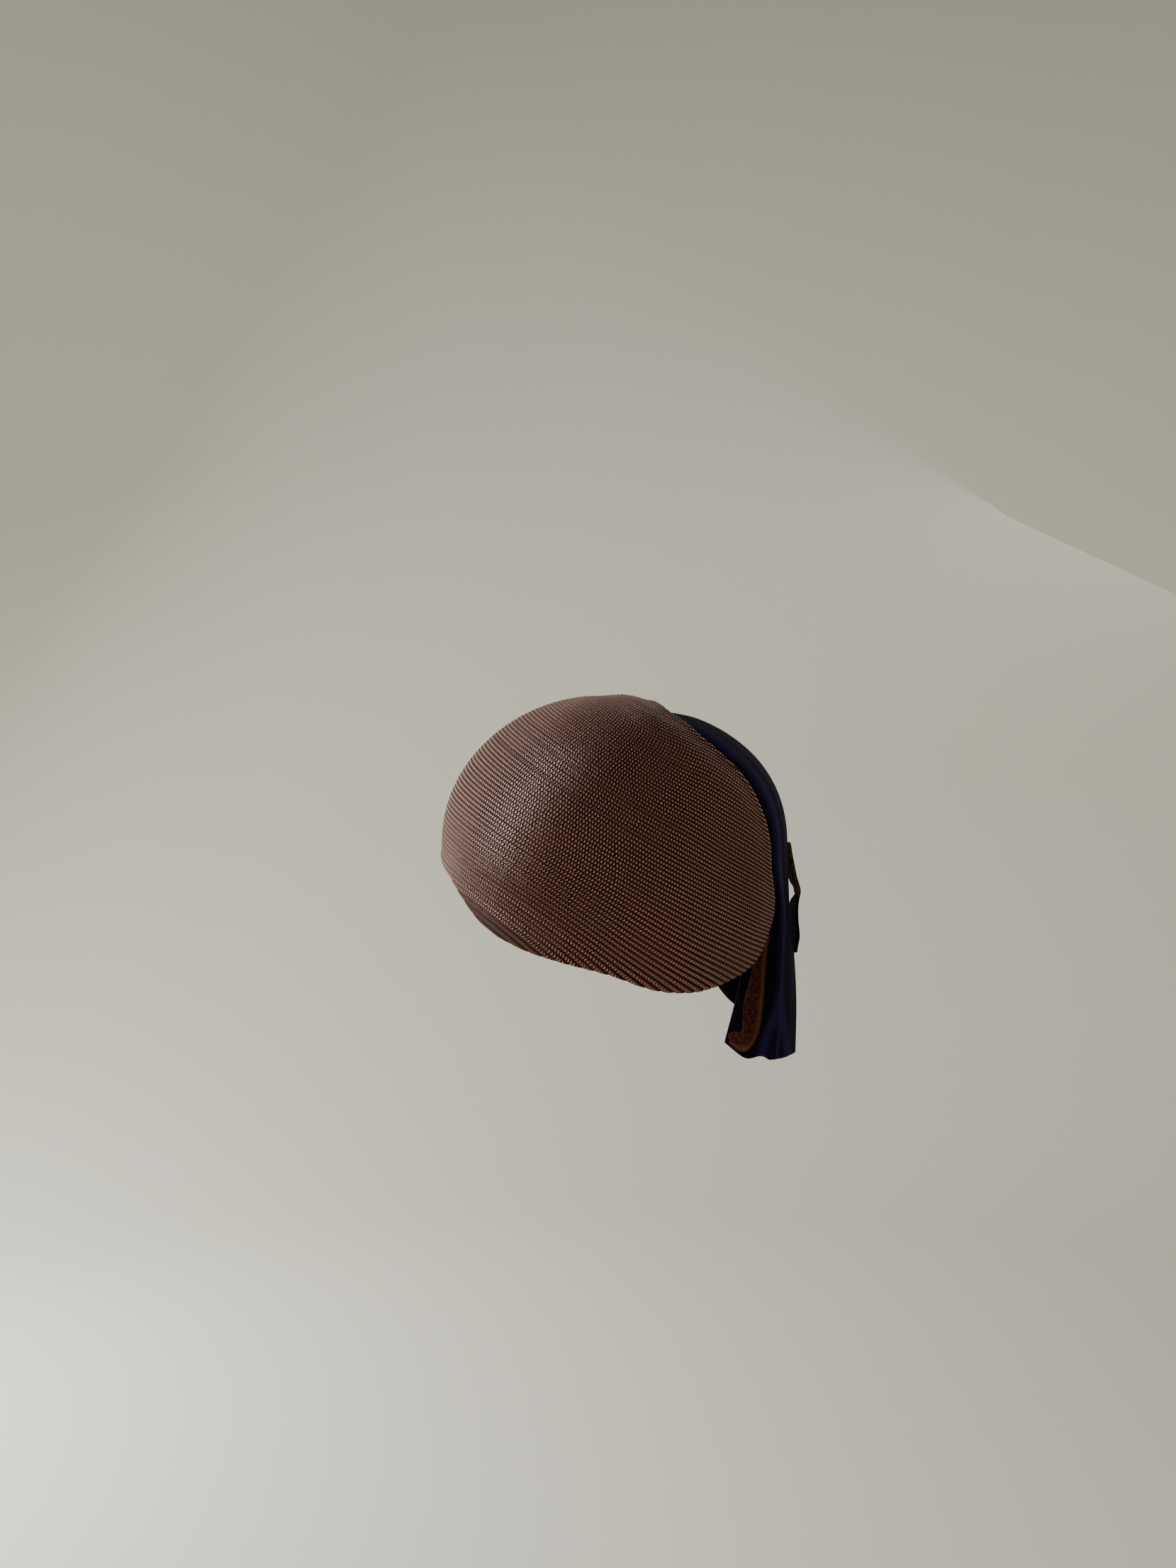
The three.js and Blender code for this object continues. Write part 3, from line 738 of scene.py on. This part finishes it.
def velvet_material(name, base, crushed, ridge_highlight=None, ridges=()):
    """Velvet of a base colour, crushed a little in places, with a painted highlight along
    ridges.
    """
    made, shader, wire = new_material(
        name,
        Specular_IOR_Level=0.04,
        Sheen_Weight=0.08,
        Sheen_Roughness=0.4,
        Sheen_Tint=colour(146, 124, 204),
    )
    lying = wire.noise(LEAN, 3, stretch=LEAN_STRETCH)
    pile = wire.noise(PILE, 2)
    shade = lying.between(0.35, 0.7).blend(colour(*base), colour(*crushed))
    if ridges:
        across, down = wire.lay()
        # painted highlight: a mask along each fold ridge, where the colour turns lighter
        ridge_highlight_mask = 0
        for begin, finish, first, last, half in ridges:
            line = down.between(begin, finish, first, last)
            near = (across - line).math("ABSOLUTE").between(0, half, 1, 0)
            ridge_highlight_mask = near * down.between(begin - RIDGE_FADE, begin + RIDGE_FADE) + ridge_highlight_mask
        shade = (ridge_highlight_mask.math("MINIMUM", 1) * (lying * 0.6 + 0.6)).blend(shade, colour(*ridge_highlight))
    connect(
        shader,
        Base_Color=pile.between(0.3, 0.75, 0, 0.35).blend(shade, colour(*PILE_SHADOW)),
        Roughness=0.82 + pile * 0.15,
        Normal=bump(wire, pile * 0.6 + lying * 2.0, 0.22),
    )
    return made


# velvet colours: base, crushed, and the painted highlight along the ridges
velvet = velvet_material("velvet", (5, 4, 9), (8, 7, 15), (36, 30, 64), RIDGES)
velvet_plain = velvet_material("velvet_plain", (7, 6, 11), (12, 11, 20))
print("velvet:", velvet.name, "and", velvet_plain.name)

# %% [markdown]
# ## The straw cap
#
# This is the ribbed shell that everyone sees first. A displaced sheet would blur the
# grooves where the rows crowd together. So we lay one line of points along the crest,
# the flanks and the groove of every row, out to the rim. Sewn straw is never even, so
# each row stands a little higher or lower than the next, and wanders a little.

# %% Cap, the rows
# millimetres: depth of a groove, how far crests stand over the solid, and a bead's length
RIB_DEPTH, RIB_PROUD, BEAD = 0.62, 0.1, 1.75
# the grooves are shallow on the side and fuller both ways: share, from, over how far
SHALLOW, FULLER = 0.35, ((0.65, -35, 50), (0.4, -48, -25))
# how a row wanders: share of a row, how often along it, how unlike its neighbour
RIB_WANDER = ((0.07, 2.3, 9), (0.05, 6.1, -17))
# share of a row, at each end, over which the wandering dies out
CALM_END = 0.06
# how much rows differ in height, and the rows that get a height each
UNEVEN, UNEVEN_ROWS = 0.1, range(-60, 80)
# points along each line
COLUMNS = 118

row_number = np.floor(lines)
phase = lines - row_number
crest = np.sqrt(np.clip(1 - (2 * phase - 1) ** 2, 0, 1))
seed = np.random.default_rng(7)
uneven = dict(zip(UNEVEN_ROWS, 1 + seed.normal(0, UNEVEN, len(UNEVEN_ROWS))))
strength = np.array([uneven[int(row)] for row in row_number])

share = np.linspace(0, 1, COLUMNS)
longitude = ends[:, :1] + (ends[:, 1:] - ends[:, :1]) * share
wander = sum(
    far * np.sin(np.radians(longitude * often + lines[:, None] * unlike))
    for far, often, unlike in RIB_WANDER
)
edge_calm = smooth(np.minimum(share, 1 - share) / CALM_END)
latitude = (lines[:, None] + wander * edge_calm) * RIB_PITCH
direction = rib_direction(latitude, longitude)
relief = SHALLOW + sum(more * smooth((longitude - start) / over) for more, start, over in FULLER)
height = STRAW_WALL + RIB_PROUD - RIB_DEPTH * relief * (1 - crest * strength)[:, None]
cap_outer = cap_surface(direction, height)
cap_floor = cap_surface(direction, np.zeros(latitude.shape), rolled=False)
print("cap:", len(lines), "lines of", COLUMNS, "points")

# %% [markdown]
# ## The cap's edge
#
# On the real hat the straw is turned over at the edge. A plain cut would leave a thin
# black line there. So every line is rolled round to the inner face at both its ends, and
# the two outermost lines are rolled along their whole length. The crests reach out
# further than the grooves, which gives the rim its small teeth.

# %% Cap, the edge
# how far round the fold each added point lies, millimetres of bead along it, and teeth
ROLL = np.array((0.2, 0.45, 0.72, 1.0))
ROLL_LENGTH = 2.4
ROLL_OUT, TOOTH = 0.75, 0.3


def padded(grid):
    """A grid with its end columns repeated, one for each step of the roll."""
    left, right = grid[:, :1].repeat(len(ROLL), 1), grid[:, -1:].repeat(len(ROLL), 1)
    return np.concatenate([left, grid, right], axis=1)


def rolled(top, low, out, tooth=0.0):
    """Points that carry a line of the rim round the cut edge to the inner face."""
    thick = np.linalg.norm(top - low, axis=1)[:, None] / 2
    return [
        top
        + (low - top) * (1 - math.cos(math.pi * part)) / 2
        + out * (ROLL_OUT * thick + tooth) * math.sin(math.pi * part)
        for part in ROLL
    ]


turn, reach = turn_and_reach(direction)
rim_out = cap_direction(turn, reach + 90)
tooth = TOOTH * (crest - 1)[:, None]
start_roll, end_roll = (
    np.stack(rolled(cap_outer[:, end], cap_floor[:, end], rim_out[:, end], tooth), axis=1)
    for end in (0, -1)
)
cap_points = np.concatenate([start_roll[:, ::-1], cap_outer, end_roll], axis=1)
first_line, last_line = (
    np.stack(rolled(cap_points[line], padded(cap_floor)[line], padded(rim_out)[line]))
    for line in (0, -1)
)
cap_points = np.concatenate([first_line[::-1], cap_points, last_line])
print("edge:", len(ROLL), "points round the fold")

# %% [markdown]
# ## Beads along the rows
#
# The straw material asks each point how many beads along its row it lies, and how many
# rows up. A flat projection would stretch the beads where the cap curves away. So we
# measure along every line, from one place on the side, and give that to the mesh.

# %% Cap, the beads and the mesh
# the longitude that beads are counted from, and a first row so low that none is negative
BEADS_FROM, ROW_BASE = -20, 60

steps = np.linalg.norm(np.diff(cap_outer, axis=1), axis=-1)
length = np.concatenate([np.zeros((len(lines), 1)), np.cumsum(steps, axis=1)], axis=1)
middle_column = np.argmin(np.abs(longitude - BEADS_FROM), axis=1)
length -= length[np.arange(len(lines)), middle_column][:, None]
beads = padded(length)
beads[:, : len(ROLL)] -= ROLL[::-1] * ROLL_LENGTH
beads[:, -len(ROLL) :] += ROLL * ROLL_LENGTH
uv = np.stack([beads / BEAD, np.broadcast_to(lines[:, None] + ROW_BASE, beads.shape)], -1)
uv = np.concatenate([uv[:1].repeat(len(ROLL), 0), uv, uv[-1:].repeat(len(ROLL), 0)])
straw_cap = add_mesh(
    "straw_cap_ribs", to_metres(cap_points), grid_faces(*cap_points.shape[:2]), uv
)
straw_cap.data.materials.append(straw)
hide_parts("straw_cap")
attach(straw_cap, "root")
print("cap:", 2 * len(straw_cap.data.polygons), "triangles")

# %% [markdown]
# ## Inside the cap
#
# Inside, the rows are pressed flat, and only their beads are seen. A second skin as fine
# as the first would be wasted there, so it keeps every third line and every third point,
# with the last of each, so that it still meets the rolled edge.

# %% Cap, inside
def thinned(count):
    """Every third number under count, and the last one."""
    return np.unique([*range(0, count, 3), count - 1])


some, columns = thinned(len(lines)), thinned(COLUMNS)
inner_grid = cap_floor[some][:, columns]
inner_uv = uv[len(ROLL) + some][:, len(ROLL) + columns]
cap_inside = add_mesh(
    "straw_cap_inside",
    to_metres(inner_grid),
    grid_faces(*inner_grid.shape[:2], flip=True),
    inner_uv,
)
cap_inside.data.materials.append(straw_inside)
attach(cap_inside, "root")
print("inside:", 2 * len(cap_inside.data.polygons), "triangles")

# %% [markdown]
# ## The velvet drape
#
# The drape is stiff doubled velvet that hangs from under the cap's back edge in a few
# long folds. A cloth simulation would fold it in its own way each time. So the folds
# come from the table above: each named line runs down the cloth, and stands out by so
# much at each level. One smooth surface goes through them all.

# %% Drape, its surface
# turns along the cap's back edge that tell how far forward the near edge hangs
SEAM_TURNS = np.arange(296, 225.0, -2)

seam_points = cap_surface(
    cap_direction(SEAM_TURNS, rim_reach(SEAM_TURNS)), np.zeros(len(SEAM_TURNS)), rolled=False
)
seam_x, seam_y, seam_z = seam_points.T
seam_rise = np.degrees(np.arctan2(seam_z / CROWN_HEIGHT, seam_y / HOLLOW_BACK)) / 90
seam_levels = np.where(seam_z < 0, seam_z / DRAPE_HANG, seam_rise)
line_places = np.linspace(0, 1, len(FOLDS))
level_places = np.linspace(0, 1, len(LEVELS))
level_table = np.array(list(LEVELS.values()))
fold_at = [row[0] for row in FOLDS.values()]
fold_hem = [row[1] for row in FOLDS.values()]
fold_out = np.array([row[2] for row in FOLDS.values()])
WIDEST = level_places[list(LEVELS).index("level")]


def place_of(name):
    """Where a fold line lies across the cloth, from 0 to 1."""
    return line_places[list(FOLDS).index(name)]


def down_at(depth):
    """How far down the cloth, from 0 to 1, a depth under the widest level lies."""
    return WIDEST + (1 - WIDEST) * np.asarray(depth) / DRAPE_HANG


def drape_outer(across, down, crease=0.0):
    """Grid of points on the drape's outer face, across by down."""
    outs = through(line_places, fold_out, across)
    out = CLEARANCE + DRAPE_WALL + DRAPE_PUFF * through(level_places, outs.T, down) + crease
    rise = np.clip(through(level_places, level_table[:, 0], down), 0, None)
    drop = np.clip(through(level_places, level_table[:, 1], down), 0, None)
    far = through(level_places, level_table[:, 2], down)
    at = through(line_places, fold_at, across)
    seam = through(seam_levels, seam_x, np.where(drop > 0, -drop, rise / 90))
    x = np.where(at > 0, at * seam[:, None], at * far[:, None] * DRAPE_WIDTH / 2)
    narrow = np.sqrt(1 - (x / (HOLLOW_WIDTH / 2)) ** 2)
    r = np.radians(rise)[:, None]
    base = np.stack([x, HOLLOW_BACK * narrow * np.cos(r), CROWN_HEIGHT * narrow * np.sin(r)], -1)
    normal = unit(base / np.array((HOLLOW_WIDTH / 2, HOLLOW_BACK, CROWN_HEIGHT)) ** 2)
    flat = flat_depth(unit(base))
    fall_by = drop[:, None] * DRAPE_HANG * through(line_places, fold_hem, across)
    return base + normal * (out - flat)[..., None] - fall_by[..., None] * np.array((0, 0, 1))


# share of the cloth over which its slope is measured
NEARBY = 0.004


def drape_at(across, down, height):
    """Points over the drape's outer face. height fits a grid of across by down."""
    u = np.clip(across + NEARBY, 0, 1), np.clip(across - NEARBY, 0, 1)
    v = np.clip(down + NEARBY, 0, 1), np.clip(down - NEARBY, 0, 1)
    along_u = drape_outer(u[0], down) - drape_outer(u[1], down)
    along_v = drape_outer(across, v[0]) - drape_outer(across, v[1])
    normal = unit(np.cross(along_v, along_u))
    return drape_outer(across, down) + normal * np.asarray(height)[..., None]


print("drape:", len(FOLDS), "fold lines through", len(LEVELS), "levels")

# %% [markdown]
# ## Creases in the velvet
#
# Between the folds lie finer creases, some cut in and some raised, and a raised corner
# at the hem. Sculpting would do it, but no one could say afterwards what was changed.
# Here each crease is one row of a table. The cloth gets its thickness along its own
# slope, and a soft edge.

# %% Drape, creases and mesh
# place across at the crown and at the foot, width, start down, and millimetres out
CREASES = (
    (0.22, 0.27, 0.02, 0.5, -0.9),
    (0.36, 0.345, 0.018, 0.62, -0.8),
    (0.44, 0.45, 0.03, 0.4, 0.5),
    (0.63, 0.6, 0.03, 0.45, -0.7),
    (0.82, 0.86, 0.02, 0.5, 0.5),
    (0.38, 0.4, 0.03, 0.2, 0.8),
    (2.1, 0.17, 0.06, 0.84, 1.6),
)
# share of the cloth over which a crease grows to its full depth
CREASE_GROW = 0.3

across, down = np.linspace(0, 1, 190), np.linspace(0, 1, 150)
u, v = np.meshgrid(across, down)
crease = sum(
    deep
    * np.exp(-(((u - top - (foot - top) * v) / wide) ** 2))
    * smooth((v - start) / CREASE_GROW)
    for top, foot, wide, start, deep in CREASES
)
outer = drape_outer(across, down, crease)
inner = outer - grid_normals(outer) * DRAPE_WALL
drape = add_sheet("velvet_drape_cloth", outer, inner, bulge=0.5, uv=np.stack([u, v], -1))
drape.data.materials.append(velvet)
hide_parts("velvet_drape")
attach(drape, "root")
wide, tall = (
    np.linalg.norm(np.diff(outer, axis=way), axis=-1).sum(axis=way).mean() for way in (1, 0)
)
print("drape:", round(wide), "mm across,", round(tall), "mm down")

# %% [markdown]
# ## The bow loop
#
# The loop is a flat band, arched off the drape and twisted, so that its straw reverse
# shows in its upper half and a slit of light shows between it and the drape. A bent
# curve with a flat profile could make it, but its stand-off would be hard to steer. So
# two rows of the table say how far its near and far side stand off the ridge below. In
# its lower half the velvet is turned under, and hides the straw.

# %% Loop, its surface
# how bluntly the loop narrows to its ends: the lower, the blunter
LOOP_ROUND = 0.45
loop_turn = math.radians(LOOP_TURN)
LOOP_ACROSS = np.array((-math.cos(loop_turn), math.sin(loop_turn), 0))


def loop_grid(sides, ways, height):
    """Points of the loop at a height over its inner face, ways by sides."""
    near = np.clip(through(LOOP_ROWS["way"], LOOP_ROWS["near"], ways), 0, None)[:, None]
    far = np.clip(through(LOOP_ROWS["way"], LOOP_ROWS["far"], ways), 0, None)[:, None]
    stand = near + (far - near) * sides
    arch = np.clip(np.sin(np.pi * ways), 0, None)
    width = LOOP_WIDTH * (LOOP_END + (1 - LOOP_END) * arch**LOOP_ROUND)
    down = down_at(LOOP_TOP + LOOP_DROP * ways)
    place = np.array([place_of("side")])
    spine = drape_at(place, down, np.zeros((len(ways), 1)))
    normal = drape_at(place, down, np.ones((len(ways), 1))) - spine
    return (
        spine
        + normal * (CLEARANCE + stand + height)[..., None]
        + LOOP_ACROSS * (width[:, None] * (sides - 0.5))[..., None]
    )


print("loop:", LOOP_WIDTH, "by", LOOP_DROP, "mm")

# %% Loop, velvet and straw
# millimetres: the straw under the velvet, and the gap between them
BACKING, BACKING_GAP = 1.0, 0.02
# share of the way down where the straw ends, and where the velvet is turned under
BACKING_END, TURN_UNDER = 0.48, 0.06

sides, ways = np.linspace(0, 1, 24), np.linspace(0, 1, 90)
turned_under = smooth((ways - BACKING_END) / TURN_UNDER)[:, None]
loop = add_sheet(
    "velvet_loop_face",
    loop_grid(sides, ways, LOOP_WALL),
    loop_grid(sides, ways, (BACKING + BACKING_GAP) * (1 - turned_under)),
    bulge=0.2,
)
loop.data.materials.append(velvet_plain)
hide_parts("velvet_loop")
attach(loop, "root")

inset, ways = np.linspace(0.02, 0.94, 24), np.linspace(0, BACKING_END - 0.01, 44)
low, high = loop_grid(inset, ways, 0.0), loop_grid(inset, ways, BACKING)
along = np.broadcast_to(ways[:, None] * LOOP_DROP / BEAD, low.shape[:2])
up = np.broadcast_to(inset * LOOP_WIDTH / RIB_SPACE, low.shape[:2])
loop_reverse = add_sheet(
    "velvet_loop_reverse", high, low, bulge=0.2, uv=np.stack([along, up], -1)
)
loop_reverse.data.materials.append(loop_straw_lit)
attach(loop_reverse, "root")
print("its straw ends", round(BACKING_END * LOOP_DROP), "mm down")

# %% [markdown]
# ## The straw facing
#
# A strip of the straw's reverse lies on the drape's near margin, and curls across at the
# foot. Straight strips could be bent with a curve modifier, but this one has to lie on
# folded cloth. So every point of it is a place on the drape, moved out by its thickness.

# %% Facing, the strip
# millimetres: the strip laid flat, for counting its beads and rows
FACING_LENGTH, FACING_WIDTH = 66, 9


def facing_grid(sides, ways, height):
    """Points of the facing at a height over its inner face, ways by sides."""
    column = {k: through(FACING_ROWS["way"], FACING_ROWS[k], ways) for k in FACING_ROWS}
    rows = []
    for row in range(len(ways)):
        inner, outer = column["inner"][row], column["outer"][row]
        place = place_of("lip") * (inner + (outer - inner) * sides)
        start, end = column["inner_depth"][row], column["outer_depth"][row]
        down = down_at(start + (end - start) * sides)
        tall = np.full((len(sides), len(sides)), CLEARANCE + height)
        rows.append(np.einsum("iik->ik", drape_at(place, down, tall)))
    return np.array(rows)


sides, ways = np.linspace(0, 1, 26), np.linspace(0, 1, 90)
high, low = facing_grid(sides, ways, FACING_WALL), facing_grid(sides, ways, 0)
along = np.broadcast_to(ways[:, None] * FACING_LENGTH / BEAD, high.shape[:2])
up = np.broadcast_to(sides * FACING_WIDTH / RIB_SPACE, high.shape[:2])
facing = add_sheet("straw_facing_strip", high, low, bulge=0.3, uv=np.stack([along, up], -1))
facing.data.materials.append(straw_reverse)
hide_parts("straw_facing")
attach(facing, "root")
print("facing:", len(facing.data.vertices), "points")

# %% [markdown]
# ## The facing's plait
#
# The strip's back edge is a paler plait, with a tooth at each crossing. Weaving three
# strands would show no more at this size, so one tube swells and shrinks along the edge.

# %% Facing, the plait
# millimetres: how deep it sits in the strip, its thickness, its teeth, and their spacing
PLAIT_SUNK, PLAIT_THICK, PLAIT_TOOTH, PLAIT_STEP = 0.2, 0.5, 0.16, 1.5

line = facing_grid(np.ones(1), np.linspace(0, 1, 400), FACING_WALL - PLAIT_SUNK)[:, 0]
along = np.concatenate([[0], np.cumsum(np.linalg.norm(np.diff(line, axis=0), axis=1))])
swell = np.cos(2 * np.pi * along / PLAIT_STEP)
plait = tube("straw_facing_plait", line, PLAIT_THICK + PLAIT_TOOTH * swell)
plait.data.materials.append(straw_edge)
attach(plait, "root")
print("plait:", round(along[-1]), "mm long")

# %% [markdown]
# ## Threads
#
# A few ends of thread stand out of the cap's back edge, where the straw was sewn to the
# velvet. A particle system would scatter them, but they sit in three places only, so
# each is a short bent tube in a tuft of three.

# %% Threads
# turns of the tufts, threads in each, and degrees from one thread to the next
TUFTS, TUFT_THREADS, TUFT_STEP = (238, 251, 257), 3, 0.9
# millimetres: length, how far they lean over, and thickness at root and tip
THREAD_LENGTH, THREAD_LEAN, THREAD_THICK = 1.8, 1.4, (0.14, 0.05)
THREAD_ROOT = 0.7 * STRAW_WALL

for number, tuft_turn in enumerate(TUFTS):
    for tuft in range(TUFT_THREADS):
        turn = np.array([tuft_turn + TUFT_STEP * tuft])
        here = cap_surface(cap_direction(turn, rim_reach(turn)), np.array([THREAD_ROOT]))[0]
        lean = np.array((0.2, 0.6 - 0.5 * tuft, 0.4 * tuft))
        way = np.linspace(0, 1, 7)[:, None]
        path = here + unit(here) * way * THREAD_LENGTH + lean * way**2 * THREAD_LEAN
        thread = tube(f"thread_{number}_{tuft}", path, np.linspace(*THREAD_THICK, 7), sides=5)
        thread.data.materials.append(straw_edge)
        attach(thread, "root")
print("threads:", len(TUFTS) * TUFT_THREADS)

# %% [markdown]
# ## Floor and wall
#
# The hat floats as it would be worn, in front of a pale wall. A flat backdrop would end
# in view as soon as we walk round it. So floor and wall are one round sheet with a soft
# bend between them, and there is a wall behind the hat from every side.

# %% Floor and wall
# the side that the main view looks from, in degrees, and two directions seen from there
VIEW_TURN = math.radians(79)
right = Vector((math.cos(VIEW_TURN), math.sin(VIEW_TURN), 0))
forward = Vector((-math.sin(VIEW_TURN), math.cos(VIEW_TURN), 0))
# metres: height of the floor, wall behind the hat, radius, height of the wall, the bend
FLOOR, WALL_AWAY, STUDIO_REACH, WALL_HEIGHT, BEND = -0.62, 1.5, 2.2, 2.4, 0.6
BEND_STEPS, AROUND = 12, 48
WALL_COLOUR = (200, 197, 183)


def sweep():
    """Round floor, bend and wall as one sheet."""
    profile = [(0.02, FLOOR), (STUDIO_REACH - BEND, FLOOR)]
    for step in range(1, BEND_STEPS + 1):
        angle = math.pi / 2 * step / BEND_STEPS
        out, rise = BEND * math.sin(angle), BEND * (1 - math.cos(angle))
        profile.append((STUDIO_REACH - BEND + out, FLOOR + rise))
    profile.append((STUDIO_REACH, FLOOR + WALL_HEIGHT))
    middle = forward * (WALL_AWAY - STUDIO_REACH)
    points = [
        middle + Vector((away * math.cos(turn), away * math.sin(turn), high))
        for away, high in profile
        for turn in np.linspace(0, 2 * math.pi, AROUND, endpoint=False)
    ]
    faces = [
        (i * AROUND + j, i * AROUND + k, (i + 1) * AROUND + k, (i + 1) * AROUND + j)
        for i in range(len(profile) - 1)
        for j, k in zip(range(AROUND), [*range(1, AROUND), 0])
    ]
    mesh = bpy.data.meshes.new("studio_floor")
    mesh.from_pydata([tuple(p) for p in points], [], [tuple(range(AROUND)), *faces])
    mesh.shade_smooth()
    floor = bpy.data.objects.new("studio_floor", mesh)
    bpy.context.scene.collection.objects.link(floor)
    made, shader, _ = new_material("studio_floor", Roughness=0.9, Specular_IOR_Level=0.2)
    shader.inputs["Base Color"].default_value = colour(*WALL_COLOUR)
    mesh.materials.append(made)
    return floor


sweep()
print("wall is", WALL_AWAY, "m behind the hat")

# %% [markdown]
# ## Light
#
# One soft window in front of the hat gives the straw its gloss and leaves the velvet
# dark. One lamp would leave the far sides black, so weaker and broader ones fill them,
# and two more light the wall and the floor. No lamp can be seen itself.

# %% Lights
centre = Vector((0, 0, -0.08))
up = Vector((0, 0, 1))
wall_lamp = centre + forward * 0.3 + up * 1.1 - right * 0.6
# name: place, what it is turned to, size in metres, power in watts
LIGHTS = {
    "window": (centre - right * 1.1 + forward * 0.35 + up * 0.55, centre, 0.42, 21),
    "side": (centre - right * 1.2 - forward * 0.3 + up * 0.05, centre, 0.7, 7),
    "fill": (centre + right * 0.3 - forward * 1.3 + up * 0.8, centre, 1.2, 6),
    "back": (centre + right * 0.9 + forward * 1.1 + up * 0.7, centre, 0.8, 5),
    "wall": (wall_lamp, wall_lamp + forward - right * 0.15, 1.8, 5),
    "floor": (centre - right * 0.9 + forward * 0.2, forward * 0.6 - right * 0.6 - up, 0.6, 9),
}
for name, (place, target, size, power) in LIGHTS.items():
    lamp = bpy.data.lights.new(name, "AREA")
    lamp.shape, lamp.size, lamp.energy = "DISK", size, power
    light = bpy.data.objects.new(name, lamp)
    light.location = place
    light.visible_camera = False
    light.rotation_euler = (target - place).to_track_quat("-Z", "Y").to_euler()
    bpy.context.scene.collection.objects.link(light)

world = bpy.data.worlds.new("studio")
world.use_nodes = True
background = world.node_tree.nodes["Background"]
background.inputs["Color"].default_value = (0.80, 0.80, 0.78, 1)
background.inputs["Strength"].default_value = 0.2
bpy.context.scene.world = world
print("lights:", ", ".join(LIGHTS))

# %% [markdown]
# ## Camera
#
# The camera stands level with the hat, at its left. Its distance and lens were fitted to
# the outline of the real one. A longer lens from further away would flatten the folds.

# %% Camera
# the lens as a share of the picture's height, and millimetres: away, to the side, up
LENS_SHARE = 1661 / 2212
CAMERA_AWAY, CAMERA_ASIDE, CAMERA_UP = 667, 12.6, 32.2
SENSOR = 36

lens = bpy.data.cameras.new("camera")
lens.sensor_width, lens.lens = SENSOR, SENSOR * LENS_SHARE
camera = bpy.data.objects.new("camera", lens)
level = up * (CAMERA_UP - CROWN_HEIGHT)
camera.location = (level - forward * CAMERA_AWAY - right * CAMERA_ASIDE) / 1000
camera.rotation_euler = forward.to_track_quat("-Z", "Y").to_euler()
bpy.context.scene.collection.objects.link(camera)
bpy.context.scene.camera = camera
print("camera at", [round(x, 3) for x in camera.location])
